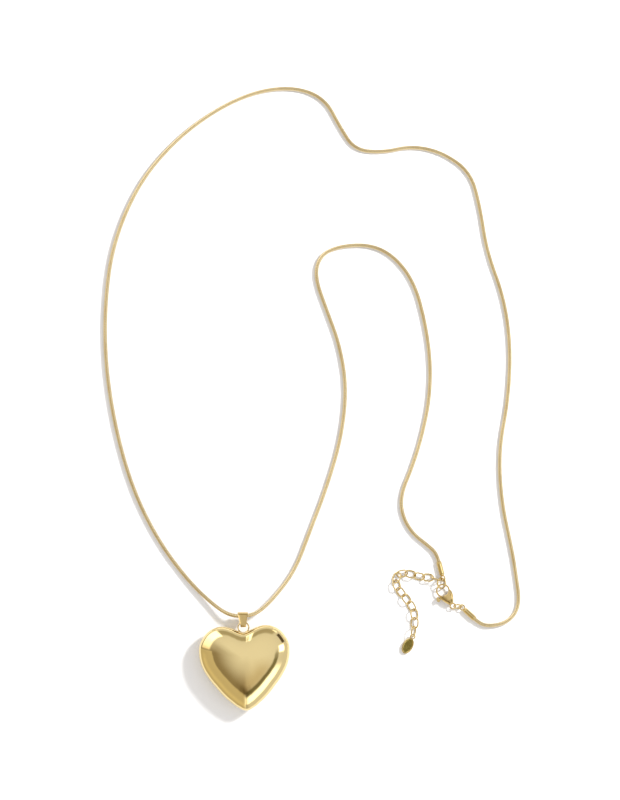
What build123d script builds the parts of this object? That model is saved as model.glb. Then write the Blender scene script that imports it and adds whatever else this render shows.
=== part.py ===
from build123d import *
from math import cos, sin, radians, tan
import os

os.makedirs("parts", exist_ok=True)

# Pendant necklace lying flat on a table, in millimetres.
# Origin: middle of the flat on the heart's back, on the table. +Z up, +Y towards the bail.

# Snake chain
chain_d = 1.5
chain_rest_z = chain_d / 2
bail_z = 4.0  # the stiff chain stands up from the table where it runs through the bail

# End caps
cap_d = 2.0
cap_length = 5.5
cap_eye_r = 1.0
cap_eye_wire = 0.5
cap_z = cap_d / 2

# Jump rings
ring_a_r, ring_a_wire = 1.9, 0.6
ring_b_r, ring_b_wire = 1.45, 0.5

# Extender links: round wire bent to a rounded oval
link_half_length, link_end_r = 1.98, 1.45
link_wire = 0.48
link_roll = 32.0  # neighbours lean opposite ways, so that each passes through the next
link_z = 1.02

# Lobster clasp, in its own axes: x across, y from the eye to the claw
clasp_eye = (78.26, 21.04, 1.5)
clasp_turn = 31.0
clasp_half_thickness = 1.3
clasp_eye_r, clasp_eye_wire = 1.0, 0.5
claw_r, claw_wire = 2.32, 0.6
claw_centre = (-0.2, 6.92)
lever_pivot = (1.6, 4.3)
lever_thickness = 0.7
rivet_r = 0.33

# Heart
heart_tip = (1.1, -17.9)
heart_tilt = 2.2
heart_thickness = 10.0
heart_wall = 0.5
seam_z = heart_thickness / 2

# Pendant ring and bail
pendant_ring_centre = (-0.1, 13.4, seam_z)
pendant_ring_r, pendant_ring_wire = 2.0, 0.5
bail_strip = 0.35
bail_top = (17.57, bail_z)  # y and z of the chain inside the bail
bail_foot = (14.45, 5.75)
bail_top_r, bail_foot_r = 1.1, 0.45
bail_x = -0.4


# The chain's route, from end cap A round to end cap B
def flat(x, y):
    return (x, y, chain_rest_z)


chain_route = [
    (73.0, 37.6, cap_z),
    (72.2, 40.7, cap_z),
    (69.3, 43.5, 0.85),
    flat(62.7, 48.6),
    flat(59.0, 56.0),
    flat(59.0, 63.5),
    flat(63.0, 73.0),
    flat(66.5, 84.0),
    flat(69.5, 98.0),
    flat(70.0, 112.5),
    flat(68.0, 127.0),
    flat(64.0, 142.0),
    flat(56.5, 152.0),
    flat(47.5, 156.5),
    flat(36.0, 156.0),
    flat(28.5, 152.5),
    flat(26.5, 144.5),
    flat(31.2, 131.5),
    flat(36.0, 118.5),
    flat(38.5, 102.5),
    flat(36.5, 84.0),
    flat(31.0, 65.5),
    flat(24.7, 49.0),
    flat(19.0, 34.0),
    (10.5, 23.2, 1.85),
    (4.2, 17.9, bail_z),
    (-4.0, 17.3, bail_z),
    (-10.5, 20.7, 1.95),
    (-21.0, 30.5, 0.8),
    flat(-32.5, 46.0),
    flat(-42.0, 65.5),
    flat(-48.5, 89.0),
    flat(-52.0, 113.0),
    flat(-52.0, 135.5),
    flat(-49.0, 157.0),
    flat(-40.0, 178.5),
    flat(-27.0, 194.5),
    flat(-11.5, 206.5),
    flat(4.5, 214.0),
    flat(19.5, 215.5),
    flat(30.5, 211.0),
    flat(36.0, 200.5),
    flat(41.5, 192.0),
    flat(52.0, 191.0),
    flat(63.0, 193.5),
    flat(74.5, 191.0),
    flat(85.0, 183.5),
    flat(88.5, 170.5),
    flat(91.0, 154.0),
    flat(97.5, 136.5),
    flat(100.0, 118.0),
    flat(99.0, 98.0),
    flat(95.5, 79.5),
    flat(96.5, 60.0),
    flat(100.5, 42.0),
    flat(102.2, 31.0),
    flat(103.2, 23.2),
    flat(101.7, 18.0),
    flat(98.0, 14.8),
    (93.0, 13.6, 0.85),
    (88.8, 14.1, cap_z),
    (86.4, 16.3, cap_z),
]


def corner_radii(points):
    """Largest arc that fits each corner, using 0.45 of the shorter run on either side."""
    radii = []
    for before, here, after in zip(points, points[1:], points[2:]):
        run_in = Vector(*here) - Vector(*before)
        run_out = Vector(*after) - Vector(*here)
        half_turn = radians(run_in.get_angle(run_out)) / 2
        radii.append(0.45 * min(run_in.length, run_out.length) / tan(half_turn))
    return radii


chain_radii = corner_radii(chain_route)
print("chain radii, mm:", [round(r, 1) for r in chain_radii])
print("smallest radius in diameters:", round(min(chain_radii) / chain_d, 1))

with BuildPart() as snake_chain:
    with BuildLine() as chain_path:
        FilletPolyline(*chain_route, radius=chain_radii)
    with BuildSketch(Plane(origin=chain_path.line @ 0, z_dir=chain_path.line % 0)):
        Circle(chain_d / 2)
    sweep()
snake_chain.part.label = "snake_chain"
export_step(snake_chain.part, "parts/snake_chain.step")

chain_length = chain_path.wire().length
chain_section = 3.14159265 * (chain_d / 2) ** 2
print("chain length, mm:", round(chain_length, 1))
print("chain volume over section times length:",
      round(snake_chain.part.volume / (chain_section * chain_length), 4))


def unit(start, end):
    return (Vector(*end) - Vector(*start)).normalized()


# End caps: a crimped barrel that closes to a cone, with a wire eye on its end
cap_a_axis = unit((72.2, 40.7, cap_z), (73.0, 37.6, cap_z))
cap_b_axis = unit((88.8, 14.1, cap_z), (86.4, 16.3, cap_z))
eye_offset = cap_length + 0.8


def make_end_cap(label, face_centre, cap_axis, eye_roll):
    barrel_plane = Plane(origin=face_centre, x_dir=cap_axis, z_dir=(0, 0, 1))
    eye_normal = Vector(0, 0, 1).rotate(Axis((0, 0, 0), cap_axis), eye_roll)
    eye_plane = Plane(origin=Vector(*face_centre) + cap_axis * eye_offset, x_dir=cap_axis,
                      z_dir=eye_normal)
    with BuildPart() as cap:
        with BuildSketch(barrel_plane):
            with BuildLine():
                Polyline(
                    (0, 0), (0, cap_d / 2), (cap_length - 0.6, cap_d / 2),
                    (cap_length - 0.1, 0.5), (cap_length, 0.3), (cap_length, 0), close=True,
                )
            make_face()
        revolve(axis=Axis(face_centre, cap_axis))
        with Locations(eye_plane.location):
            Torus(cap_eye_r, cap_eye_wire / 2)
    cap.part.label = label
    export_step(cap.part, f"parts/{label}.step")
    return cap


end_cap_a = make_end_cap("end_cap_a", chain_route[0], cap_a_axis, eye_roll=47.4)
end_cap_b = make_end_cap("end_cap_b", chain_route[-1], cap_b_axis, eye_roll=26)


# Jump rings: their long axis lies level, from one eye to the other, and they lean about it
def make_ring(label, centre, heading, lean, ring_r, wire):
    level = Vector(cos(radians(heading)), sin(radians(heading)), 0)
    upward = Vector(-level.Y, level.X, 0) * cos(radians(lean)) + Vector(0, 0, sin(radians(lean)))
    ring_plane = Plane(origin=centre, x_dir=level, z_dir=level.cross(upward))
    with BuildPart() as ring:
        with Locations(ring_plane.location):
            Torus(ring_r, wire / 2)
    ring.part.label = label
    export_step(ring.part, f"parts/{label}.step")
    return ring


jump_ring_a = make_ring("jump_ring_a", (73.99, 29.67, 1.47), 281.4, 142.3, ring_a_r, ring_a_wire)
jump_ring_b = make_ring("jump_ring_b", (80.05, 20.92, 1.49), -2.7, 57, ring_b_r, ring_b_wire)


# Extender: x, y, z, heading and roll of each link, from the jump ring to the tag
link_places = [
    (71.77, 31.27, 1.69, 160.6, 93.5),  # stands on edge in the jump ring
    (68.95, 31.75, link_z, 175, link_roll),
    (65.66, 32.17, link_z, 167, -link_roll),
    (62.4, 33.03, link_z, 167, link_roll),
    (59.26, 33.22, link_z, 190, -link_roll),
    (57.27, 31.69, link_z, 245, link_roll),
    (57.2, 28.9, link_z, 288, -link_roll),
    (58.74, 26.25, link_z, 307, link_roll),
    (60.88, 23.71, link_z, 307, -link_roll),
    (62.72, 20.99, link_z, 299, link_roll),
    (63.83, 18.02, link_z, 279, -link_roll),
    (63.92, 14.75, link_z, 266, link_roll),
    (63.51, 11.62, 1.52, 262, -60),  # leans steeply to hold the tag's eye
]
link_straight = link_half_length - link_end_r


def make_link(label, x, y, z, heading, roll):
    along = Vector(cos(radians(heading)), sin(radians(heading)), 0)
    upward = Vector(0, 0, 1).rotate(Axis((0, 0, 0), along), roll)
    link_plane = Plane(origin=(x, y, z), x_dir=along, z_dir=upward)
    ends = [
        Location((link_straight, 0, 0), (0, 0, -90)),
        Location((-link_straight, 0, 0), (0, 0, 90)),
    ]
    sides = [Location((0, side, 0), (0, 90, 0)) for side in (link_end_r, -link_end_r)]
    with BuildPart() as link:
        with Locations(link_plane.location):
            with Locations(*ends):
                Torus(link_end_r, link_wire / 2, major_angle=180, align=None)
            with Locations(*sides):
                Cylinder(link_wire / 2, 2 * link_straight)
    link.part.label = label
    export_step(link.part, f"parts/{label}.step")
    return link


for number, place in enumerate(link_places, start=1):
    make_link(f"extender_link_{number:02d}", *place)


# End tag: an oval plate with a raised rim, and an eye for the last link; it slopes to the table
tag_eye = (63.23, 9.66, 1.4)
tag_heading, tag_slope = 242.0, 6.5
tag_length, tag_width, tag_thickness = 6.4, 3.9, 0.9
tag_rim = 0.45
tag_centre_x = 3.95
tag_way = Vector(
    cos(radians(tag_heading)) * cos(radians(tag_slope)),
    sin(radians(tag_heading)) * cos(radians(tag_slope)),
    -sin(radians(tag_slope)),
)
tag_across = Vector(-sin(radians(tag_heading)), cos(radians(tag_heading)), 0)
tag_plane = Plane(origin=tag_eye, x_dir=tag_way, z_dir=tag_way.cross(tag_across))

with BuildPart() as end_tag:
    with BuildSketch(tag_plane.offset(-tag_thickness / 2)):
        with Locations((tag_centre_x, 0)):
            Ellipse(tag_length / 2, tag_width / 2)
    extrude(amount=tag_thickness)
    with BuildSketch(tag_plane.offset(tag_thickness / 2)):
        with Locations((tag_centre_x, 0)):
            Ellipse(tag_length / 2 - tag_rim, tag_width / 2 - tag_rim)
    extrude(amount=-0.25, mode=Mode.SUBTRACT)
    with Locations(tag_plane.location):
        Torus(0.85, 0.2)
end_tag.part.label = "end_tag"
export_step(end_tag.part, "parts/end_tag.step")


# Lobster clasp
clasp_plane = Plane(
    origin=clasp_eye, x_dir=(cos(radians(clasp_turn)), sin(radians(clasp_turn)), 0), z_dir=(0, 0, 1)
)
slot_low, slot_high = -0.45, 0.62  # the slot leaves room above the lever for the spring's coil
body_side = [(0.75, 1.0), (1.3, 1.9), (2.0, 3.2), (2.42, 4.5), (2.45, 5.3), (2.15, 6.1)]
body_outline = body_side + [(-x, y) for x, y in reversed(body_side)]

with BuildPart() as clasp_body:
    with BuildSketch(clasp_plane.offset(-clasp_half_thickness)):
        with BuildLine():
            Spline(*body_side)
            Spline(*[(-x, y) for x, y in body_side])
            Line(body_side[0], (-body_side[0][0], body_side[0][1]))
            Line(body_side[-1], (-body_side[-1][0], body_side[-1][1]))
        make_face()
    extrude(amount=2 * clasp_half_thickness)
    flats = clasp_body.faces().filter_by(Axis.Z)
    chamfer(flats.edges(), length=0.4)
    with Locations(clasp_plane.location):
        with Locations((*claw_centre, 0)):
            Cylinder(claw_r - claw_wire / 2, 4, mode=Mode.SUBTRACT)
        with Locations(Location((*claw_centre, 0), (0, 0, 38))):
            Torus(claw_r, claw_wire / 2, major_angle=180, align=None)
        Torus(clasp_eye_r, clasp_eye_wire / 2)
    with BuildSketch(clasp_plane.offset(slot_low)):
        with BuildLine():
            Polyline(
                (-4, 5.45), (-4, 2.0), (1.1, 3.2), (4, 3.4), (4, 7), (0.2, 7), (0.2, 5.45), close=True
            )
        make_face()
    extrude(amount=slot_high - slot_low, mode=Mode.SUBTRACT)
    with BuildSketch(clasp_plane.offset(-clasp_half_thickness)):
        with Locations(lever_pivot):
            Circle(rivet_r)
    extrude(amount=2 * clasp_half_thickness, mode=Mode.SUBTRACT)
clasp_body.part.label = "clasp_body"
export_step(clasp_body.part, "parts/clasp_body.step")

with BuildPart() as clasp_rivet:
    with BuildSketch(clasp_plane.offset(-clasp_half_thickness)):
        with Locations(lever_pivot):
            Circle(rivet_r)
    extrude(amount=2 * clasp_half_thickness)
clasp_rivet.part.label = "clasp_rivet"
export_step(clasp_rivet.part, "parts/clasp_rivet.step")

# The lever lies across the body: a gate that closes the claw on one side, a thumb tab on the other
tab_centre = (-3.45, 4.95)
with BuildPart() as clasp_lever:
    with BuildSketch(clasp_plane.offset(-lever_thickness / 2)):
        with Locations(lever_pivot):
            Circle(0.72)
        with BuildLine():
            Polyline((1.4, 4.95), (1.2, 3.85), (-2.9, 4.4), (-2.9, 5.2), close=True)
        make_face()
    extrude(amount=lever_thickness)
    with BuildSketch(clasp_plane.offset(-0.6)):
        with Locations(tab_centre):
            SlotOverall(1.9, 1.2, rotation=78)
    extrude(amount=1.2)
    with Locations(clasp_plane.location):
        with Locations(Location((*claw_centre, 0), (0, 0, -54))):
            Torus(claw_r, claw_wire / 2, major_angle=85, align=None)
    with BuildSketch(clasp_plane.offset(-lever_thickness / 2)):
        with Locations(lever_pivot):
            Circle(rivet_r + 0.06)
    extrude(amount=lever_thickness, mode=Mode.SUBTRACT)
clasp_lever.part.label = "clasp_lever"
export_step(clasp_lever.part, "parts/clasp_lever.step")

# Torsion spring: one turn round the rivet, above the lever, with a leg along the slot
with BuildPart() as clasp_spring:
    with Locations(clasp_plane.location):
        with Locations((lever_pivot[0], lever_pivot[1], 0.49)):
            Torus(0.5, 0.09)
    with BuildSketch(Plane(origin=clasp_plane.from_local_coords((1.1, 4.2, 0.49)),
                           z_dir=clasp_plane.x_dir * -1)):
        Circle(0.09)
    extrude(amount=2.2)
clasp_spring.part.label = "clasp_spring"
export_step(clasp_spring.part, "parts/clasp_spring.step")


# Heart: two stamped shells that meet at the seam
heart_side = [
    (3.0, 1.5), (5.6, 3.5), (7.8, 5.5), (9.6, 7.5), (11.2, 9.5), (12.8, 11.5), (14.3, 13.8),
    (15.6, 16.2), (16.5, 18.9), (16.9, 21.8), (16.7, 24.9), (15.4, 27.7), (13.4, 30.0),
    (10.7, 31.5), (7.6, 31.9), (4.6, 31.2), (2.0, 30.1),
]
heart_loop = [(0, 0.3)] + heart_side + [(0, 29.5)] + [(-x, y) for x, y in reversed(heart_side)]
heart_middle_y = 17.6

# Height over the seam and the outline's scale there: steep sides, round shoulders, a gentle face
dome_profile = [(0, 1.0), (1.5, 0.974), (2.75, 0.887), (3.75, 0.739), (4.4, 0.563), (4.8, 0.361), (5.0, 0.2)]


def heart_outline(scale):
    """Heart outline in the necklace's frame, shrunk about the heart's middle."""
    tilt = radians(heart_tilt)
    points = []
    for x, y in heart_loop:
        across, along = x * scale, heart_middle_y + (y - heart_middle_y) * scale
        points.append(
            (
                heart_tip[0] + across * cos(tilt) - along * sin(tilt),
                heart_tip[1] + across * sin(tilt) + along * cos(tilt),
            )
        )
    return points


def make_heart_shell(label, side):
    inner_scale = 1 - heart_wall / 16.9
    inner_height = 1 - heart_wall / seam_z
    with BuildPart() as shell:
        for rise, scale in dome_profile:
            with BuildSketch(Plane.XY.offset(seam_z + side * rise)):
                with BuildLine():
                    Spline(*heart_outline(scale), periodic=True)
                make_face()
        loft()
        for rise, scale in dome_profile:
            with BuildSketch(Plane.XY.offset(seam_z + side * rise * inner_height)):
                with BuildLine():
                    Spline(*heart_outline(scale * inner_scale), periodic=True)
                make_face()
        loft(mode=Mode.SUBTRACT)
        with Locations(pendant_ring_centre):
            Torus(pendant_ring_r, pendant_ring_wire / 2, mode=Mode.SUBTRACT)
    shell.part.label = label
    export_step(shell.part, f"parts/{label}.step")
    return shell


heart_front_shell = make_heart_shell("heart_front_shell", side=1)
heart_back_shell = make_heart_shell("heart_back_shell", side=-1)

with BuildPart() as pendant_ring:
    with Locations(pendant_ring_centre):
        Torus(pendant_ring_r, pendant_ring_wire / 2)
pendant_ring.part.label = "pendant_ring"
export_step(pendant_ring.part, "parts/pendant_ring.step")

# Bail: a strip folded round the chain and the ring, wide at the chain and narrow at the foot
with BuildPart() as bail:
    with BuildSketch(Plane.YZ.offset(bail_x - 3)):
        with Locations(bail_top):
            Circle(bail_top_r + bail_strip)
        with Locations(bail_foot):
            Circle(bail_foot_r + bail_strip)
        make_hull()
    extrude(amount=6)
    with BuildSketch(Plane.YZ.offset(bail_x - 3)):
        with Locations(bail_top):
            Circle(bail_top_r)
        with Locations(bail_foot):
            Circle(bail_foot_r)
        make_hull()
    extrude(amount=6, mode=Mode.SUBTRACT)
    with BuildSketch(Plane.XY):
        with BuildLine():
            Polyline((-2.4, 19.1), (1.6, 19.1), (0.9, 13.5), (-1.1, 13.5), close=True)
        make_face()
    extrude(amount=10, mode=Mode.INTERSECT)
bail.part.label = "bail"
export_step(bail.part, "parts/bail.step")
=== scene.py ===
import math

import bmesh
import bpy
from mathutils import Matrix, Vector


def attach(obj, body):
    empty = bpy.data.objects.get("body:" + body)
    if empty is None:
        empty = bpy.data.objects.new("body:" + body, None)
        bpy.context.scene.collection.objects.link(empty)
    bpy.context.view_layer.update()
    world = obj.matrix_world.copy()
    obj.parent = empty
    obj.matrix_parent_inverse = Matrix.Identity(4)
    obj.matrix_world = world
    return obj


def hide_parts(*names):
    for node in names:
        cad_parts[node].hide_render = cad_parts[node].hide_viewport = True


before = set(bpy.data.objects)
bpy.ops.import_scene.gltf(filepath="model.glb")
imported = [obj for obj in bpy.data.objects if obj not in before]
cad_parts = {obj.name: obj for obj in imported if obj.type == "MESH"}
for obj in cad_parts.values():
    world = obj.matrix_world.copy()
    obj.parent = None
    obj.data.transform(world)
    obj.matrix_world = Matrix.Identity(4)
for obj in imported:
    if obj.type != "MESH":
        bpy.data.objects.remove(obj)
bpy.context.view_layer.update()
scene = bpy.context.scene
mm = 0.001


def calcNode(tree, operation, *values):
    # arithmetic on numbers and sockets in any node tree
    node = tree.nodes.new("ShaderNodeMath")
    node.operation = operation
    for slot, value in enumerate(values):
        if isinstance(value, (int, float)):
            node.inputs[slot].default_value = value
        else:
            tree.links.new(value, node.inputs[slot])
    return node.outputs["Value"]


# The camera, the studio and the floor

studio = {
    "viewMiddle": (24.75 * mm, 98.25 * mm),
    "viewHeight": 300 * mm,
    "lens": 120.0,
    "skyTop": 1.0,
    "skySides": 0.85,
    "skyFill": 0.80,  # how much of it lights the floor
    "keyPower": 6.0,
    "keySide": 32.0,  # degrees round from +X
    "keyHeight": 40.0,  # degrees above the table
    "keySize": 0.13,
    "keyDistance": 0.7,
    "floorHeight": -0.1 * mm,  # just under the piece, so that the two never share a plane
    "floorHalf": 3.0,
}


def setCamera():
    data = bpy.data.cameras.new("camera")
    data.lens = studio["lens"]
    data.sensor_width = 36.0
    camera = bpy.data.objects.new("camera", data)
    height = studio["viewHeight"] * studio["lens"] / data.sensor_width
    camera.location = (*studio["viewMiddle"], height)
    scene.collection.objects.link(camera)
    scene.camera = camera


# Panels of the studio, seen only as reflections: middle side and half width, lowest and highest
# height, how soft the ends and the top and bottom are, all in degrees, and brightness and tint
studioPanels = [
    dict(side=143, half=29, low=14, high=55, ends=3, edge=3,  # large softbox
         level=3.1, tint=(1, 1, 1)),
    dict(side=-58, half=31, low=35, high=54, ends=12, edge=4,  # white wall
         level=2.8, tint=(1, 1, 1)),
    dict(side=-70, half=40, low=61, high=80, ends=26, edge=9,  # shade end
         level=0.76, tint=(1, 0.9, 0.72)),
    dict(side=-46, half=44, low=56, high=64, ends=16, edge=2,  # dark stand
         level=0.28, tint=(1, 0.95, 0.6)),
    dict(side=-92, half=20, low=59, high=68, ends=12, edge=4,  # its foot
         level=0.5, tint=(1, 0.9, 0.7)),
    dict(side=216, half=58, low=-30, high=78, ends=24, edge=14,  # shade
         level=0.36, tint=(1, 0.84, 0.55)),
    dict(side=222, half=47, low=-30, high=60, ends=2, edge=1.2,  # plain wall
         level=2.15, tint=(1, 1.05, 1.1)),
    dict(side=228, half=40, low=22, high=38, ends=10, edge=9,  # strip on it
         level=1.28, tint=(1, 1, 0.95)),
    dict(side=84, half=30, low=22, high=50, ends=5, edge=5,  # far side
         level=0.60, tint=(1, 0.93, 0.75)),
    dict(side=34, half=12, low=22, high=42, ends=2, edge=2,  # lamp housing
         level=0.14, tint=(1, 0.8, 0.6)),
    dict(side=7, half=10, low=36, high=56, ends=3, edge=3,  # small lamp
         level=4.0, tint=(1, 1, 1)),
    dict(side=58, half=7, low=18, high=30, ends=2, edge=2,  # its twin
         level=2.4, tint=(1, 1, 1)),
]


def setSky():
    world = bpy.data.worlds.new("studio")
    scene.world = world
    world.use_nodes = True
    nodes, links = world.node_tree.nodes, world.node_tree.links
    background = nodes["Background"]
    coords = nodes.new("ShaderNodeTexCoord")
    parts = nodes.new("ShaderNodeSeparateXYZ")
    links.new(coords.outputs["Generated"], parts.inputs["Vector"])

    def calc(operation, *values):
        return calcNode(world.node_tree, operation, *values)

    def within(value, half, edge):
        fade = nodes.new("ShaderNodeMapRange")  # 1 inside the half width, 0 outside it
        fade.interpolation_type = "SMOOTHSTEP"
        fade.inputs["From Min"].default_value = half + edge
        fade.inputs["From Max"].default_value = half - edge
        links.new(value, fade.inputs["Value"])
        return fade.outputs["Result"]

    degree = 180 / math.pi
    side = calc("MULTIPLY", calc("ARCTAN2", parts.outputs["Y"], parts.outputs["X"]), degree)
    height = calc("MULTIPLY", calc("ARCSINE", parts.outputs["Z"]), degree)
    tone = None
    for panel in studioPanels:
        turn = calc("ABSOLUTE", calc("WRAP", calc("SUBTRACT", side, panel["side"]), 180.0, -180.0))
        middle, reach = (panel["low"] + panel["high"]) / 2, (panel["high"] - panel["low"]) / 2
        rise = calc("ABSOLUTE", calc("SUBTRACT", height, middle))
        wide, tall = within(turn, panel["half"], panel["ends"]), within(rise, reach, panel["edge"])
        mask = calc("MULTIPLY", wide, tall)
        shade = nodes.new("ShaderNodeMix")
        shade.data_type = "RGBA"
        shade.blend_type = "MULTIPLY"
        links.new(mask, shade.inputs["Factor"])
        if tone is None:
            shade.inputs["A"].default_value = (1.0, 0.99, 0.975, 1)
        else:
            links.new(tone, shade.inputs["A"])
        shade.inputs["B"].default_value = (*[c * panel["level"] for c in panel["tint"]], 1)
        tone = shade.outputs["Result"]
    zenith = nodes.new("ShaderNodeMapRange")  # the sky dims a little away from overhead
    zenith.interpolation_type = "SMOOTHSTEP"
    zenith.inputs["From Min"].default_value = 30
    zenith.inputs["From Max"].default_value = 88
    zenith.inputs["To Min"].default_value = studio["skySides"]
    zenith.inputs["To Max"].default_value = studio["skyTop"]
    links.new(height, zenith.inputs["Value"])
    seen = nodes.new("ShaderNodeLightPath")
    plain = calc("MAXIMUM", seen.outputs["Is Camera Ray"], seen.outputs["Is Diffuse Ray"])
    colour = nodes.new("ShaderNodeMix")  # panels show in the metal only, and the room is plain
    colour.data_type = "RGBA"
    links.new(plain, colour.inputs["Factor"])
    links.new(tone, colour.inputs["A"])
    colour.inputs["B"].default_value = (1.0, 0.99, 0.985, 1)
    links.new(colour.outputs["Result"], background.inputs["Color"])
    share = studio["skyFill"]
    fill = calc("MULTIPLY_ADD", seen.outputs["Is Camera Ray"], 1.0 - share, share)
    strength = nodes.new("ShaderNodeMix")
    links.new(plain, strength.inputs["Factor"])
    links.new(zenith.outputs["Result"], strength.inputs["A"])
    links.new(fill, strength.inputs["B"])
    links.new(strength.outputs["Result"], background.inputs["Strength"])


def setKeyLight():
    data = bpy.data.lights.new("keyLight", "AREA")
    data.shape = "DISK"
    data.size = studio["keySize"]
    data.energy = studio["keyPower"]
    light = bpy.data.objects.new("keyLight", data)
    side, height = math.radians(studio["keySide"]), math.radians(studio["keyHeight"])
    middle = Vector((*studio["viewMiddle"], 0))
    way = Vector(
        (math.cos(side) * math.cos(height), math.sin(side) * math.cos(height), math.sin(height))
    )
    light.location = middle + way * studio["keyDistance"]
    light.rotation_euler = way.to_track_quat("Z", "Y").to_euler()
    light.visible_glossy = False  # the panels give the highlights
    scene.collection.objects.link(light)


def makeFloor():
    mesh = bpy.data.meshes.new("floor")
    half = studio["floorHalf"]
    corners = [(-half, -half), (half, -half), (half, half), (-half, half)]
    mesh.from_pydata([(x, y, studio["floorHeight"]) for x, y in corners], [], [(0, 1, 2, 3)])
    floor = bpy.data.objects.new("floor", mesh)
    scene.collection.objects.link(floor)
    paper = bpy.data.materials.new("whitePaper")
    paper.use_nodes = True
    shader = paper.node_tree.nodes["Principled BSDF"]
    shader.inputs["Base Color"].default_value = (0.95, 0.945, 0.945, 1)
    shader.inputs["Roughness"].default_value = 0.9
    shader.inputs["Specular IOR Level"].default_value = 0.1
    mesh.materials.append(paper)


setCamera()
setSky()
setKeyLight()
makeFloor()
scene.view_settings.view_transform = "Standard"
print("studio ready")


# The gold finishes and the spring's steel

def newGroup(name, ins, outs):
    group = bpy.data.node_groups.new(name, "ShaderNodeTree")
    for label, kind, value in ins:
        socket = group.interface.new_socket(label, in_out="INPUT", socket_type=kind)
        socket.default_value = value
    for label, kind in outs:
        group.interface.new_socket(label, in_out="OUTPUT", socket_type=kind)
    return group, group.nodes.new("NodeGroupInput"), group.nodes.new("NodeGroupOutput")


def makePlatingGroup():
    group, start, end = newGroup(
        "platingTone",
        [
            ("Light", "NodeSocketColor", (0.8, 0.62, 0.3, 1)),
            ("Deep", "NodeSocketColor", (0.7, 0.5, 0.2, 1)),
            ("Cloud Scale", "NodeSocketFloat", 200.0),
            ("Smooth", "NodeSocketFloat", 0.06),
            ("Rough", "NodeSocketFloat", 0.14),
            ("Handling", "NodeSocketFloat", 0.3),
        ],
        [("Color", "NodeSocketColor"), ("Roughness", "NodeSocketFloat"), ("Height", "NodeSocketFloat")],
    )
    nodes, links = group.nodes, group.links
    coords = nodes.new("ShaderNodeTexCoord")
    cloud = nodes.new("ShaderNodeTexNoise")
    cloud.inputs["Detail"].default_value = 3.0
    links.new(coords.outputs["Object"], cloud.inputs["Vector"])
    links.new(start.outputs["Cloud Scale"], cloud.inputs["Scale"])
    tone = nodes.new("ShaderNodeMix")
    tone.data_type = "RGBA"
    links.new(cloud.outputs["Fac"], tone.inputs["Factor"])
    links.new(start.outputs["Light"], tone.inputs["A"])
    links.new(start.outputs["Deep"], tone.inputs["B"])
    links.new(tone.outputs["Result"], end.inputs["Color"])

    fineScale = calcNode(group, "MULTIPLY", start.outputs["Cloud Scale"], 9.0)  # of the hairlines
    stretch = nodes.new("ShaderNodeMapping")
    stretch.inputs["Scale"].default_value = (1.0, 0.12, 1.0)
    stretch.inputs["Rotation"].default_value = (0.0, 0.0, 0.7)
    links.new(coords.outputs["Object"], stretch.inputs["Vector"])
    hairs = nodes.new("ShaderNodeTexNoise")
    hairs.inputs["Detail"].default_value = 2.0
    links.new(stretch.outputs["Vector"], hairs.inputs["Vector"])
    links.new(fineScale, hairs.inputs["Scale"])
    wear = nodes.new("ShaderNodeMapRange")
    wear.inputs["From Min"].default_value = 0.45
    wear.inputs["From Max"].default_value = 0.75
    links.new(hairs.outputs["Fac"], wear.inputs["Value"])
    share = calcNode(group, "MULTIPLY", wear.outputs["Result"], start.outputs["Handling"])
    rough = nodes.new("ShaderNodeMix")
    links.new(share, rough.inputs["Factor"])
    links.new(start.outputs["Smooth"], rough.inputs["A"])
    links.new(start.outputs["Rough"], rough.inputs["B"])
    links.new(rough.outputs["Result"], end.inputs["Roughness"])
    links.new(hairs.outputs["Fac"], end.inputs["Height"])
    return group


platingTone = makePlatingGroup()

metalFinishes = {
    "heartGold": dict(
        light=(0.82, 0.67, 0.35), deep=(0.78, 0.62, 0.30),
        cloud=60, smooth=0.05, rough=0.11, handling=0.35, bump=0.02,
    ),
    "chainGold": dict(
        light=(0.70, 0.59, 0.37), deep=(0.54, 0.42, 0.23),
        cloud=160, smooth=0.10, rough=0.24, handling=0.8, bump=0.05,
    ),
    "findingGold": dict(
        light=(0.70, 0.56, 0.28), deep=(0.58, 0.43, 0.18),
        cloud=300, smooth=0.07, rough=0.20, handling=0.6, bump=0.04,
    ),
    "claspGold": dict(
        light=(0.68, 0.52, 0.25), deep=(0.57, 0.41, 0.17),
        cloud=220, smooth=0.10, rough=0.24, handling=0.6, bump=0.06,
    ),
    "tagGold": dict(
        light=(0.41, 0.35, 0.11), deep=(0.30, 0.25, 0.07),
        cloud=500, smooth=0.22, rough=0.40, handling=0.9, bump=0.20,
    ),
    "springSteel": dict(
        light=(0.55, 0.55, 0.56), deep=(0.42, 0.42, 0.43),
        cloud=900, smooth=0.25, rough=0.4, handling=0.3, bump=0,
    ),
}


def metalMaterial(name):
    look = metalFinishes[name]
    material = bpy.data.materials.new(name)
    material.use_nodes = True
    nodes, links = material.node_tree.nodes, material.node_tree.links
    shader = nodes["Principled BSDF"]
    shader.inputs["Metallic"].default_value = 1.0
    plating = nodes.new("ShaderNodeGroup")
    plating.node_tree = platingTone
    plating.inputs["Light"].default_value = (*look["light"], 1)
    plating.inputs["Deep"].default_value = (*look["deep"], 1)
    plating.inputs["Cloud Scale"].default_value = look["cloud"]
    plating.inputs["Smooth"].default_value = look["smooth"]
    plating.inputs["Rough"].default_value = look["rough"]
    plating.inputs["Handling"].default_value = look["handling"]
    links.new(plating.outputs["Color"], shader.inputs["Base Color"])
    links.new(plating.outputs["Roughness"], shader.inputs["Roughness"])
    if look["bump"]:
        bump = nodes.new("ShaderNodeBump")
        bump.inputs["Strength"].default_value = look["bump"]
        bump.inputs["Distance"].default_value = 0.05 * mm
        links.new(plating.outputs["Height"], bump.inputs["Height"])
        links.new(bump.outputs["Normal"], shader.inputs["Normal"])
    return material


materials = {name: metalMaterial(name) for name in metalFinishes}
print("finishes ready")


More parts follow.
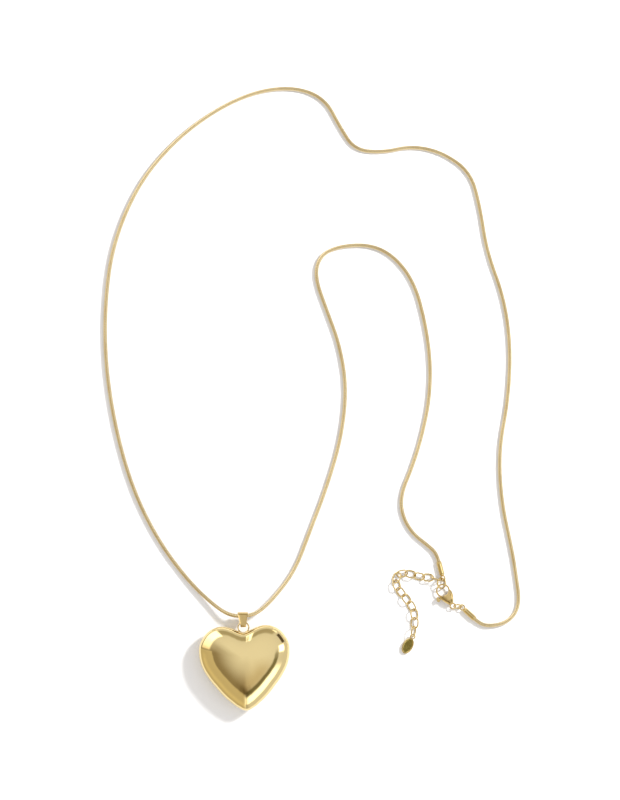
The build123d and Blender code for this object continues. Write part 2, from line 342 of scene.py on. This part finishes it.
# Helpers that make meshes

def meshObject(name, points, faces, material, smooth=True):
    mesh = bpy.data.meshes.new(name)
    mesh.from_pydata([tuple(p) for p in points], [], faces)
    mesh.materials.append(materials[material])
    mesh.validate()
    if smooth:
        mesh.shade_smooth()
    piece = bpy.data.objects.new(name, mesh)
    scene.collection.objects.link(piece)
    return piece


def ringFaces(rings, sides, closed=False):
    # quads between each ring of points and the next
    faces = []
    for ring in range(rings if closed else rings - 1):
        here, after = ring * sides, (ring + 1) % rings * sides
        for k in range(sides):
            m = (k + 1) % sides
            faces.append((here + k, here + m, after + m, after + k))
    return faces


def capFaces(rings, sides):
    return [tuple(range(sides)), tuple(range((rings - 1) * sides, rings * sides))]


def sweepMesh(name, line, section, material, closed=True, up=Vector((0, 0, 1))):
    # line is a list of points; section(index) gives the outline there as (side, rise) pairs
    count = len(line)
    rings = []
    for index, point in enumerate(line):
        before = line[index - 1] if closed or index else line[0]
        after = line[(index + 1) % count] if closed or index < count - 1 else line[-1]
        ahead = (after - before).normalized()
        side = ahead.cross(up).normalized()
        rise = side.cross(ahead)
        rings.append([point + side * a + rise * b for a, b in section(index)])
    points = [p for ring in rings for p in ring]
    size = len(rings[0])
    faces = ringFaces(count, size, closed)
    if not closed:
        faces += capFaces(count, size)
    piece = meshObject(name, points, faces, material)
    outward(piece)
    return piece


def outward(piece):
    work = bmesh.new()
    work.from_mesh(piece.data)
    bmesh.ops.recalc_face_normals(work, faces=work.faces)
    work.to_mesh(piece.data)
    work.free()


def roundSection(radius, count=20):
    steps = [2 * math.pi * k / count for k in range(count)]
    return [(radius * math.cos(a), radius * math.sin(a)) for a in steps]


def frameMatrix(origin, xWay, zWay):
    x, z = Vector(xWay).normalized(), Vector(zWay).normalized()
    y = z.cross(x)
    turn = Matrix((x, y, z)).transposed().to_4x4()
    return Matrix.Translation(Vector(origin)) @ turn


def wayAt(degrees):
    return Vector((math.cos(math.radians(degrees)), math.sin(math.radians(degrees)), 0))


def finish(piece, body, slot, *nodes):
    if nodes:
        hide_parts(*nodes)
    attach(piece, body)
    return piece


# The snake chain

chainLook = {
    "thickness": 1.5 * mm,
    "ringPitch": 0.62 * mm,
    "grooveDepth": 0.12,
    "sides": 12,
}

chainRoute = [
    (0.0730, 0.0376, 0.00100), (0.0722, 0.0407, 0.00100), (0.0693, 0.0435, 0.00085),
    (0.0627, 0.0486, 0.00075), (0.0590, 0.0560, 0.00075), (0.0590, 0.0635, 0.00075),
    (0.0630, 0.0730, 0.00075), (0.0665, 0.0840, 0.00075), (0.0695, 0.0980, 0.00075),
    (0.0700, 0.1125, 0.00075), (0.0680, 0.1270, 0.00075), (0.0640, 0.1420, 0.00075),
    (0.0565, 0.1520, 0.00075), (0.0475, 0.1565, 0.00075), (0.0360, 0.1560, 0.00075),
    (0.0285, 0.1525, 0.00075), (0.0265, 0.1445, 0.00075), (0.0312, 0.1315, 0.00075),
    (0.0360, 0.1185, 0.00075), (0.0385, 0.1025, 0.00075), (0.0365, 0.0840, 0.00075),
    (0.0310, 0.0655, 0.00075), (0.0247, 0.0490, 0.00075), (0.0190, 0.0340, 0.00075),
    (0.0105, 0.0232, 0.00185), (0.0042, 0.0179, 0.00400), (-0.0040, 0.0173, 0.00400),
    (-0.0105, 0.0207, 0.00195), (-0.0210, 0.0305, 0.00080), (-0.0325, 0.0460, 0.00075),
    (-0.0420, 0.0655, 0.00075), (-0.0485, 0.0890, 0.00075), (-0.0520, 0.1130, 0.00075),
    (-0.0520, 0.1355, 0.00075), (-0.0490, 0.1570, 0.00075), (-0.0400, 0.1785, 0.00075),
    (-0.0270, 0.1945, 0.00075), (-0.0115, 0.2065, 0.00075), (0.0045, 0.2140, 0.00075),
    (0.0195, 0.2155, 0.00075), (0.0305, 0.2110, 0.00075), (0.0360, 0.2005, 0.00075),
    (0.0415, 0.1920, 0.00075), (0.0520, 0.1910, 0.00075), (0.0630, 0.1935, 0.00075),
    (0.0745, 0.1910, 0.00075), (0.0850, 0.1835, 0.00075), (0.0885, 0.1705, 0.00075),
    (0.0910, 0.1540, 0.00075), (0.0975, 0.1365, 0.00075), (0.1000, 0.1180, 0.00075),
    (0.0990, 0.0980, 0.00075), (0.0955, 0.0795, 0.00075), (0.0965, 0.0600, 0.00075),
    (0.1005, 0.0420, 0.00075), (0.1022, 0.0310, 0.00075), (0.1032, 0.0232, 0.00075),
    (0.1017, 0.0180, 0.00075), (0.0980, 0.0148, 0.00075), (0.0930, 0.0136, 0.00085),
    (0.0888, 0.0141, 0.00100), (0.0864, 0.0163, 0.00100),
]


def routeCurve():
    data = bpy.data.curves.new("chainRoute", "CURVE")
    data.dimensions = "3D"
    data.resolution_u = 16
    spline = data.splines.new("NURBS")
    spline.points.add(len(chainRoute) - 1)
    for point, place in zip(spline.points, chainRoute):
        point.co = (*place, 1.0)
    spline.order_u = 3
    spline.use_endpoint_u = True
    curve = bpy.data.objects.new("chainRoute", data)
    scene.collection.objects.link(curve)
    return curve


def plainMesh(source, name):
    bpy.context.view_layer.update()
    graph = bpy.context.evaluated_depsgraph_get()
    mesh = bpy.data.meshes.new_from_object(source.evaluated_get(graph))
    mesh.name = name
    return mesh


def socketIds(group):
    return {item.name: item.identifier for item in group.interface.items_tree if item.in_out == "INPUT"}


def snakeChainTree():
    group = bpy.data.node_groups.new("snakeChainRings", "GeometryNodeTree")
    group.interface.new_socket("Route", in_out="INPUT", socket_type="NodeSocketGeometry")
    for label in ("Thickness", "Ring Pitch", "Groove Depth"):
        group.interface.new_socket(label, in_out="INPUT", socket_type="NodeSocketFloat")
    group.interface.new_socket("Sides", in_out="INPUT", socket_type="NodeSocketInt")
    group.interface.new_socket("Finish", in_out="INPUT", socket_type="NodeSocketMaterial")
    group.interface.new_socket("Chain", in_out="OUTPUT", socket_type="NodeSocketGeometry")
    nodes, links = group.nodes, group.links
    start, end = nodes.new("NodeGroupInput"), nodes.new("NodeGroupOutput")

    stations = nodes.new("GeometryNodeResampleCurve")  # four stations to a ring
    stations.mode = "LENGTH"
    links.new(start.outputs["Route"], stations.inputs["Curve"])
    links.new(calcNode(group, "DIVIDE", start.outputs["Ring Pitch"], 4.0), stations.inputs["Length"])
    index = nodes.new("GeometryNodeInputIndex")
    phase = calcNode(group, "MODULO", index.outputs["Index"], 4.0)
    inGroove = calcNode(group, "LESS_THAN", phase, 0.5)
    cut = calcNode(group, "MULTIPLY", inGroove, start.outputs["Groove Depth"])
    size = calcNode(group, "SUBTRACT", 1.0, cut)
    radius = nodes.new("GeometryNodeSetCurveRadius")
    links.new(stations.outputs["Curve"], radius.inputs["Curve"])
    links.new(size, radius.inputs["Radius"])

    half = calcNode(group, "MULTIPLY", start.outputs["Thickness"], 0.5)
    outline = nodes.new("GeometryNodeCurvePrimitiveCircle")
    links.new(start.outputs["Sides"], outline.inputs["Resolution"])
    links.new(half, outline.inputs["Radius"])
    tube = nodes.new("GeometryNodeCurveToMesh")
    tube.inputs["Fill Caps"].default_value = True
    links.new(radius.outputs["Curve"], tube.inputs["Curve"])
    links.new(outline.outputs["Curve"], tube.inputs["Profile Curve"])
    if "Scale" in tube.inputs:
        links.new(size, tube.inputs["Scale"])
    real = nodes.new("GeometryNodeRealizeInstances")
    links.new(tube.outputs["Mesh"], real.inputs["Geometry"])
    coat = nodes.new("GeometryNodeSetMaterial")
    links.new(real.outputs["Geometry"], coat.inputs["Geometry"])
    links.new(start.outputs["Finish"], coat.inputs["Material"])
    links.new(coat.outputs["Geometry"], end.inputs["Chain"])
    return group


def makeSnakeChain():
    route = routeCurve()
    line = [v.co.copy() for v in plainMesh(route, "chainLine").vertices]
    tree = snakeChainTree()
    modifier = route.modifiers.new("rings", "NODES")
    modifier.node_group = tree
    ids = socketIds(tree)
    modifier[ids["Thickness"]] = chainLook["thickness"]
    modifier[ids["Ring Pitch"]] = chainLook["ringPitch"]
    modifier[ids["Groove Depth"]] = chainLook["grooveDepth"]
    modifier[ids["Sides"]] = chainLook["sides"]
    modifier[ids["Finish"]] = materials["chainGold"]
    mesh = plainMesh(route, "snakeChain")
    bpy.data.objects.remove(route)
    chain = bpy.data.objects.new("snakeChain", mesh)
    scene.collection.objects.link(chain)
    mesh.shade_smooth()
    return chain, line


snakeChain, chainLine = makeSnakeChain()
finish(snakeChain, "chain", "chain_gold", "snake_chain")
chainLength = sum((b - a).length for a, b in zip(chainLine, chainLine[1:]))
print("snake chain", round(chainLength, 4), "m,", len(snakeChain.data.polygons), "faces")


# The heart, two stamped shells that meet at a seam

heartLook = {
    "tip": (1.1 * mm, -17.9 * mm),
    "tilt": 2.2,
    "middle": 17.6 * mm,
    "seamHeight": 5.0 * mm,
    "fullness": 2.35,  # 2 is a plain ellipse in section
    "roundOff": 14.5 * mm,  # radius that the outline turns into on its way to the middle
    "roundShare": 0.75,
    "roundRate": 1.1,
    "wall": 0.5 * mm,
    "around": 240,
    "rings": 56,
}

# Half the heart's outline in millimetres, from the tip round to the cleft
heartSide = [
    (0, 0.3), (3.0, 1.5), (5.6, 3.5), (7.8, 5.5), (9.6, 7.5), (11.2, 9.5), (12.8, 11.5), (14.3, 13.8),
    (15.6, 16.2), (16.5, 18.9), (16.9, 21.8), (16.7, 24.9), (15.4, 27.7), (13.4, 30.0), (10.7, 31.5),
    (7.6, 31.9), (4.6, 31.2), (2.0, 30.1), (0, 29.5),
]


def heartLoop():
    data = bpy.data.curves.new("heartLoop", "CURVE")
    data.dimensions = "3D"
    data.resolution_u = 24
    spline = data.splines.new("BEZIER")
    loop = heartSide + [(-x, y) for x, y in reversed(heartSide[1:-1])]
    spline.bezier_points.add(len(loop) - 1)
    for knot, (x, y) in zip(spline.bezier_points, loop):
        knot.co = (x * mm, y * mm, 0)
        knot.handle_left_type = knot.handle_right_type = "AUTO"
    spline.use_cyclic_u = True
    curve = bpy.data.objects.new("heartLoop", data)
    scene.collection.objects.link(curve)
    points = [v.co.copy() for v in plainMesh(curve, "heartLoop").vertices]
    bpy.data.objects.remove(curve)
    total = [0.0]
    for a, b in zip(points, points[1:] + points[:1]):
        total.append(total[-1] + (b - a).length)
    even, k = [], 0
    for step in range(heartLook["around"]):
        want = total[-1] * step / heartLook["around"]
        while total[k + 1] < want:
            k += 1
        share = (want - total[k]) / (total[k + 1] - total[k])
        even.append(points[k].lerp(points[(k + 1) % len(points)], share))
    return even


def domeAt(t):
    # t runs from 0 at the seam to 1 at the middle: returns the outline's scale and the height
    angle = t * math.pi / 2
    power = 2.0 / heartLook["fullness"]
    scale = max(0.0, math.cos(angle)) ** power
    height = math.sin(angle) ** power
    return scale, height


def makeHeartShell(name, side):
    loop = heartLoop()
    tilt = math.radians(heartLook["tilt"])
    middle = Vector((0, heartLook["middle"], 0))
    points = []
    rings = heartLook["rings"]
    for ring in range(rings):
        scale, height = domeAt(ring / rings)
        for place in loop:
            out = place - middle
            soft = out.normalized() * heartLook["roundOff"]  # cleft and tip fade inwards
            fade = heartLook["roundShare"] * (1 - scale) ** heartLook["roundRate"]
            flat = out.lerp(soft, fade) * scale + middle
            x = heartLook["tip"][0] + flat.x * math.cos(tilt) - flat.y * math.sin(tilt)
            y = heartLook["tip"][1] + flat.x * math.sin(tilt) + flat.y * math.cos(tilt)
            z = heartLook["seamHeight"] * (1 + side * height)
            points.append((x, y, z))
    x = heartLook["tip"][0] - middle.y * math.sin(tilt)
    y = heartLook["tip"][1] + middle.y * math.cos(tilt)
    points.append((x, y, heartLook["seamHeight"] * (1 + side)))
    around = heartLook["around"]
    faces = ringFaces(rings, around)
    last = (rings - 1) * around
    for k in range(around):
        faces.append((last + k, last + (k + 1) % around, len(points) - 1))
    if side < 0:
        faces = [tuple(reversed(face)) for face in faces]
    shell = meshObject(name, points, faces, "heartGold")
    wall = shell.modifiers.new("wall", "SOLIDIFY")
    wall.thickness = heartLook["wall"]
    wall.offset = -1.0
    shell.data = plainMesh(shell, name)
    shell.modifiers.clear()
    shell.data.shade_smooth()
    return shell


heartFront = makeHeartShell("heartFrontShell", 1)
heartBack = makeHeartShell("heartBackShell", -1)
finish(heartFront, "heart", "polished_gold", "heart_front_shell")
finish(heartBack, "heart", "polished_gold", "heart_back_shell")
print("heart made")


# The rings and the bail

ringLook = {
    "pendant": dict(centre=(-0.1, 13.4, 5.0), heading=0, lean=0, radius=2.0, wire=0.5),
    "ringA": dict(centre=(73.99, 29.67, 1.47), heading=281.4, lean=142.3, radius=1.9, wire=0.6),
    "ringB": dict(centre=(80.05, 20.92, 1.49), heading=-2.7, lean=57, radius=1.45, wire=0.5),
}


def ringFrame(look):
    level = wayAt(look["heading"])
    lean = math.radians(look["lean"])
    upward = Vector((-level.y, level.x, 0)) * math.cos(lean) + Vector((0, 0, math.sin(lean)))
    centre = Vector(look["centre"]) * mm
    return frameMatrix(centre, level, level.cross(upward))


def makeRing(name, look):
    count = 96
    circle = [wayAt(360 * k / count) * look["radius"] * mm for k in range(count)]
    outline = roundSection(look["wire"] * mm / 2)
    ring = sweepMesh(name, circle, lambda index: outline, "findingGold")
    ring.data.transform(ringFrame(look))
    return ring


pendantRing = makeRing("pendantRing", ringLook["pendant"])
finish(pendantRing, "heart", "finding_gold", "pendant_ring")
jumpRingA = makeRing("jumpRingA", ringLook["ringA"])
finish(jumpRingA, "ring_a", "finding_gold", "jump_ring_a")
jumpRingB = makeRing("jumpRingB", ringLook["ringB"])
finish(jumpRingB, "ring_b", "finding_gold", "jump_ring_b")

bailLook = {
    "x": -0.4, "top": (17.57, 4.0), "foot": (14.45, 5.75), "topRadius": 1.1, "footRadius": 0.56,
    "strip": 0.35, "topWidth": 4.0, "footWidth": 1.95, "topEdge": 19.05, "footEdge": 13.65,
    "footShift": 0.3, "corner": 0.13,
}


def makeBail():
    look = bailLook
    top, foot = Vector(look["top"]), Vector(look["foot"])
    reach = (foot - top).length
    along = (foot - top).normalized()
    heading = math.atan2(along.y, along.x)
    half = look["strip"] / 2
    r1, r2 = look["topRadius"] + half, look["footRadius"] + half
    slope = math.acos((r1 - r2) / reach)  # where the straight sides touch the two bends
    line, count = [], 36
    for k in range(count + 1):
        a = heading + slope + (2 * math.pi - 2 * slope) * k / count
        line.append(top + Vector((math.cos(a), math.sin(a))) * r1)
    ends = (line[-1], foot + Vector((math.cos(heading - slope), math.sin(heading - slope))) * r2)
    line += [ends[0].lerp(ends[1], k / 10) for k in range(1, 10)]
    for k in range(count // 2 + 1):
        a = heading - slope + 2 * slope * k / (count // 2)
        line.append(foot + Vector((math.cos(a), math.sin(a))) * r2)
    ends = (line[-1], line[0])
    line += [ends[0].lerp(ends[1], k / 10) for k in range(1, 10)]
    path = [Vector((look["x"], p.x, p.y)) * mm for p in line]
    fall = look["topEdge"] - look["footEdge"]

    def section(index):
        share = (look["topEdge"] - line[index].x) / fall
        width = look["topWidth"] + (look["footWidth"] - look["topWidth"]) * share
        w, h, r = width / 2 * mm, half * mm, look["corner"] * mm
        outline = []
        corners = ((w - r, h - r, 0), (r - w, h - r, 90), (r - w, r - h, 180), (w - r, r - h, 270))
        for cx, cy, first in corners:
            for k in range(4):
                a = math.radians(first + 30 * k)
                outline.append((cy + r * math.sin(a), cx + r * math.cos(a)))
        return outline

    bail = sweepMesh("bailStrip", path, section, "claspGold", up=Vector((1, 0, 0)))
    for vertex in bail.data.vertices:  # the foot stands a little to the right of the top
        share = (look["topEdge"] * mm - vertex.co.y) / (fall * mm)
        vertex.co.x += look["footShift"] * mm * share
    return bail


bail = finish(makeBail(), "bail_loop", "finding_gold", "bail")
print("rings and bail made")


# The extender and its thirteen links

linkLook = {"halfLength": 1.98 * mm, "endRadius": 1.45 * mm, "wire": 0.54 * mm}

linkPlaces = [
    (71.77, 31.27, 1.69, 160.6, 93.5), (68.95, 31.75, 1.02, 175, 32), (65.66, 32.17, 1.02, 167, -32),
    (62.4, 33.03, 1.02, 167, 32), (59.26, 33.22, 1.02, 190, -32), (57.27, 31.69, 1.02, 245, 32),
    (57.2, 28.9, 1.02, 288, -32), (58.74, 26.25, 1.02, 307, 32), (60.88, 23.71, 1.02, 307, -32),
    (62.72, 20.99, 1.02, 299, 32), (63.83, 18.02, 1.02, 279, -32), (63.92, 14.75, 1.02, 266, 32),
    (63.51, 11.62, 1.52, 262, -60),
]


def linkTree():
    group = bpy.data.node_groups.new("extenderLink", "GeometryNodeTree")
    group.interface.new_socket("Base", in_out="INPUT", socket_type="NodeSocketGeometry")
    for label in ("Half Length", "End Radius", "Wire"):
        group.interface.new_socket(label, in_out="INPUT", socket_type="NodeSocketFloat")
    group.interface.new_socket("Finish", in_out="INPUT", socket_type="NodeSocketMaterial")
    group.interface.new_socket("Link", in_out="OUTPUT", socket_type="NodeSocketGeometry")
    nodes, links = group.nodes, group.links
    start, end = nodes.new("NodeGroupInput"), nodes.new("NodeGroupOutput")

    def scaled(label, factor):
        return calcNode(group, "MULTIPLY", start.outputs[label], factor)

    oval = nodes.new("GeometryNodeCurvePrimitiveQuadrilateral")
    links.new(scaled("Half Length", 2.0), oval.inputs["Width"])
    links.new(scaled("End Radius", 2.0), oval.inputs["Height"])
    bend = nodes.new("GeometryNodeFilletCurve")
    bend.mode = "POLY"
    bend.inputs["Count"].default_value = 12
    links.new(oval.outputs["Curve"], bend.inputs["Curve"])
    links.new(scaled("End Radius", 0.998), bend.inputs["Radius"])  # a full one would merge points
    wire = nodes.new("GeometryNodeCurvePrimitiveCircle")
    wire.inputs["Resolution"].default_value = 16
    links.new(scaled("Wire", 0.5), wire.inputs["Radius"])
    tube = nodes.new("GeometryNodeCurveToMesh")
    links.new(bend.outputs["Curve"], tube.inputs["Curve"])
    links.new(wire.outputs["Curve"], tube.inputs["Profile Curve"])
    real = nodes.new("GeometryNodeRealizeInstances")
    links.new(tube.outputs["Mesh"], real.inputs["Geometry"])
    coat = nodes.new("GeometryNodeSetMaterial")
    links.new(real.outputs["Geometry"], coat.inputs["Geometry"])
    links.new(start.outputs["Finish"], coat.inputs["Material"])
    links.new(coat.outputs["Geometry"], end.inputs["Link"])
    return group


def makeLinks():
    tree = linkTree()
    ids = socketIds(tree)
    base = bpy.data.objects.new("linkBase", bpy.data.meshes.new("linkBase"))
    scene.collection.objects.link(base)
    modifier = base.modifiers.new("link", "NODES")
    modifier.node_group = tree
    modifier[ids["Half Length"]] = linkLook["halfLength"]
    modifier[ids["End Radius"]] = linkLook["endRadius"]
    modifier[ids["Wire"]] = linkLook["wire"]
    modifier[ids["Finish"]] = materials["findingGold"]
    made = []
    for number, (x, y, z, heading, roll) in enumerate(linkPlaces, start=1):
        mesh = plainMesh(base, f"extenderLink{number:02d}")
        along = wayAt(heading)
        upward = Matrix.Rotation(math.radians(roll), 3, along) @ Vector((0, 0, 1))
        mesh.transform(frameMatrix(Vector((x, y, z)) * mm, along, upward))
        mesh.shade_smooth()
        link = bpy.data.objects.new(f"extenderLink{number:02d}", mesh)
        scene.collection.objects.link(link)
        finish(link, f"link_{number:02d}", "finding_gold", f"extender_link_{number:02d}")
        made.append(link)
    bpy.data.objects.remove(base)
    return made


extenderLinks = makeLinks()
print(len(extenderLinks), "extender links made")


# The end caps, a barrel and an eye each

capLook = {
    "length": 5.5, "radius": 1.0, "eyeRadius": 1.0, "eyeWire": 0.5,
    "endCapA": dict(face=(73.0, 37.6, 1.0), before=(72.2, 40.7, 1.0), roll=47.4),
    "endCapB": dict(face=(86.4, 16.3, 1.0), before=(88.8, 14.1, 1.0), roll=26),
}

# Distance along the barrel and radius there: rolled lip, plain barrel, crimp, cone
capProfile = [
    (-0.02, 0.70), (-0.06, 0.84), (0.0, 0.95), (0.10, 1.0), (0.24, 0.985), (0.34, 0.93), (0.44, 0.985),
    (0.56, 1.0), (2.0, 1.0), (4.2, 1.0), (4.75, 0.985), (5.0, 0.9), (5.2, 0.72), (5.35, 0.52),
    (5.5, 0.34), (5.6, 0.2),
]


def latheMesh(name, profile, sides, material):
    points = []
    for along, radius in profile:
        for k in range(sides):
            a = 2 * math.pi * k / sides
            points.append((along * mm, radius * math.cos(a) * mm, radius * math.sin(a) * mm))
    faces = ringFaces(len(profile), sides) + capFaces(len(profile), sides)
    piece = meshObject(name, points, faces, material)
    outward(piece)
    return piece


def joinPieces(first, *others):
    work = bmesh.new()
    work.from_mesh(first.data)
    for other in others:
        work.from_mesh(other.data)
        bpy.data.objects.remove(other)
    work.to_mesh(first.data)
    work.free()
    first.data.shade_smooth()
    return first


def makeCap(name):
    look = capLook[name]
    axis = (Vector(look["face"]) - Vector(look["before"])).normalized()
    barrel = latheMesh(name, capProfile, 48, "findingGold")
    barrel.data.transform(frameMatrix(Vector(look["face"]) * mm, axis, (0, 0, 1)))
    upward = Matrix.Rotation(math.radians(look["roll"]), 3, axis) @ Vector((0, 0, 1))
    circle = [wayAt(360 * k / 48) * capLook["eyeRadius"] * mm for k in range(48)]
    outline = roundSection(capLook["eyeWire"] * mm / 2, 16)
    eye = sweepMesh(name + "Eye", circle, lambda index: outline, "findingGold")
    middle = Vector(look["face"]) + axis * (capLook["length"] + 0.8)
    eye.data.transform(frameMatrix(middle * mm, axis, upward))
    return joinPieces(barrel, eye)


endCapA = finish(makeCap("endCapA"), "chain", "finding_gold", "end_cap_a")
endCapB = finish(makeCap("endCapB"), "chain", "finding_gold", "end_cap_b")
print("end caps made")


# The clasp

claspLook = {
    "eye": (78.26, 21.04, 1.5),
    "turn": 31.0,
    "pivot": (1.6, 4.3),
    "rivetRadius": 0.33,
    "slotHalf": 0.66,  # half the slot that the lever turns in
    "voxel": 0.07 * mm,  # fine enough for the thin claw
    "softening": 9,
}
claspFrame = frameMatrix(Vector(claspLook["eye"]) * mm, wayAt(claspLook["turn"]), (0, 0, 1))


def castPiece(node, name, material, shape=None):
    # a softened copy of the node, as a cast and tumbled part is
    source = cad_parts[node].data
    work = bmesh.new()
    work.from_mesh(source)
    bmesh.ops.remove_doubles(work, verts=work.verts, dist=0.002 * mm)
    mesh = bpy.data.meshes.new(name)
    work.to_mesh(mesh)
    work.free()
    mesh.materials.clear()
    piece = bpy.data.objects.new(name, mesh)
    scene.collection.objects.link(piece)
    grain = piece.modifiers.new("voxels", "REMESH")
    grain.mode = "VOXEL"
    grain.voxel_size = claspLook["voxel"]
    soft = piece.modifiers.new("soft", "SMOOTH")
    soft.factor = 0.5
    soft.iterations = claspLook["softening"]
    piece.data = plainMesh(piece, name)
    piece.modifiers.clear()
    if shape:
        back = claspFrame.inverted()
        for vertex in piece.data.vertices:
            vertex.co = claspFrame @ shape(back @ vertex.co)
    piece.data.materials.clear()
    piece.data.materials.append(materials[material])
    piece.data.shade_smooth()
    return piece


def domeBody(p):
    # rounds the flat cheeks of the body from side to side, and thins them towards the eye
    x, y, z = p.x / mm, p.y / mm, p.z / mm
    slot = claspLook["slotHalf"]
    if 0.7 < y < 6.2 and abs(z) > slot and abs(x) < 2.6:
        half = 0.75 + 1.75 * min(1.0, max(0.0, (y - 0.9) / 3.4)) ** 0.9
        bulge = math.sqrt(max(0.0, 1 - min(1.0, abs(x) / half) ** 2))
        thin = min(1.0, 0.45 + 0.2 * y)
        top = slot + (abs(z) - slot) * (0.25 + 0.85 * bulge) * thin
        z = math.copysign(top, z)
    return Vector((x, y, z)) * mm


claspBody = castPiece("clasp_body", "claspBody", "claspGold", domeBody)
finish(claspBody, "clasp", "finding_gold", "clasp_body")
claspLever = castPiece("clasp_lever", "claspLever", "claspGold")
finish(claspLever, "lever", "finding_gold", "clasp_lever")


def makeRivet():
    # both heads are peened to low domes
    radius = claspLook["rivetRadius"]
    head = [(1.1, radius), (1.2, radius), (1.27, 0.24), (1.28, 0.1)]
    profile = [(-along, wide) for along, wide in reversed(head)] + head
    rivet = latheMesh("claspRivet", profile, 32, "claspGold")
    middle = Vector((*claspLook["pivot"], 0)) * mm
    stand = Matrix.Translation(middle) @ Matrix.Rotation(-math.pi / 2, 4, "Y")
    rivet.data.transform(claspFrame @ stand)
    return rivet


claspRivet = finish(makeRivet(), "clasp", "finding_gold", "clasp_rivet")


def makeSpring():
    # two close turns round the rivet and a straight leg along the slot
    middle = Vector((*claspLook["pivot"], 0))
    coil, steps = 0.5, 64
    line = []
    for k in range(steps + 1):
        rise = Vector((0, 0, 0.43 + 0.1 * k / steps))
        line.append((middle + wayAt(-80 + 720 * k / steps) * coil + rise) * mm)
    start = line[0]
    leg = [start + Vector((-2.2, -0.1, 0)) * mm * (1 - k / 8) for k in range(8)]
    outline = roundSection(0.055 * mm, 10)
    spring = sweepMesh("claspSpring", leg + line, lambda index: outline, "springSteel", closed=False)
    spring.data.transform(claspFrame)
    return spring


claspSpring = finish(makeSpring(), "clasp", "spring_steel", "clasp_spring")
print("clasp made")


# The end tag

tagLook = {
    "eye": (63.23, 9.66, 1.4), "heading": 242.0, "slope": 6.5,
    "length": 6.4, "width": 3.9, "thickness": 0.9,
    "rim": 0.42, "recess": 0.25, "middle": 3.95, "eyeRadius": 0.85, "eyeWire": 0.4,
}


def makeTag():
    look = tagLook
    half, rim, deep = look["thickness"] / 2, look["rim"], look["recess"]
    # inset from the edge and height, from the middle of the back round to the middle of the face
    steps = [
        (1.9, -half), (1.2, -half), (0.5, -half), (0.16, -half), (0.06, -half + 0.04),
        (0.0, -half + 0.14), (0.0, half - 0.14), (0.05, half - 0.04), (0.14, half),
        (rim - 0.12, half), (rim - 0.03, half - 0.03), (rim, half - 0.10),
        (rim + 0.02, half - deep + 0.04), (rim + 0.08, half - deep), (0.8, half - deep),
        (1.3, half - deep), (1.9, half - deep),
    ]
    sides = 96
    points = []
    for inset, z in steps:
        a, b = look["length"] / 2 - inset, look["width"] / 2 - inset
        for k in range(sides):
            t = 2 * math.pi * k / sides
            points.append(((look["middle"] + a * math.cos(t)) * mm, b * math.sin(t) * mm, z * mm))
    faces = ringFaces(len(steps), sides) + capFaces(len(steps), sides)
    tag = meshObject("endTag", points, faces, "findingGold")
    tag.data.materials.append(materials["tagGold"])
    floorHeight = (half - deep + 0.02) * mm
    for face in tag.data.polygons:
        if 0 < face.center.z < floorHeight and len(face.vertices) > 4 or (
            0 < face.center.z < floorHeight and abs(face.normal.z) > 0.9
        ):
            face.material_index = 1
    outward(tag)
    circle = [wayAt(360 * k / 48) * look["eyeRadius"] * mm for k in range(48)]
    outline = roundSection(look["eyeWire"] * mm / 2, 16)
    tag = joinPieces(tag, sweepMesh("tagEye", circle, lambda index: outline, "findingGold"))
    slope = math.radians(look["slope"])
    way = wayAt(look["heading"]) * math.cos(slope) - Vector((0, 0, math.sin(slope)))
    across = wayAt(look["heading"] + 90)
    tag.data.transform(frameMatrix(Vector(look["eye"]) * mm, way, way.cross(across)))
    return tag


endTag = finish(makeTag(), "tag", "tag_gold", "end_tag")
print("end tag made")
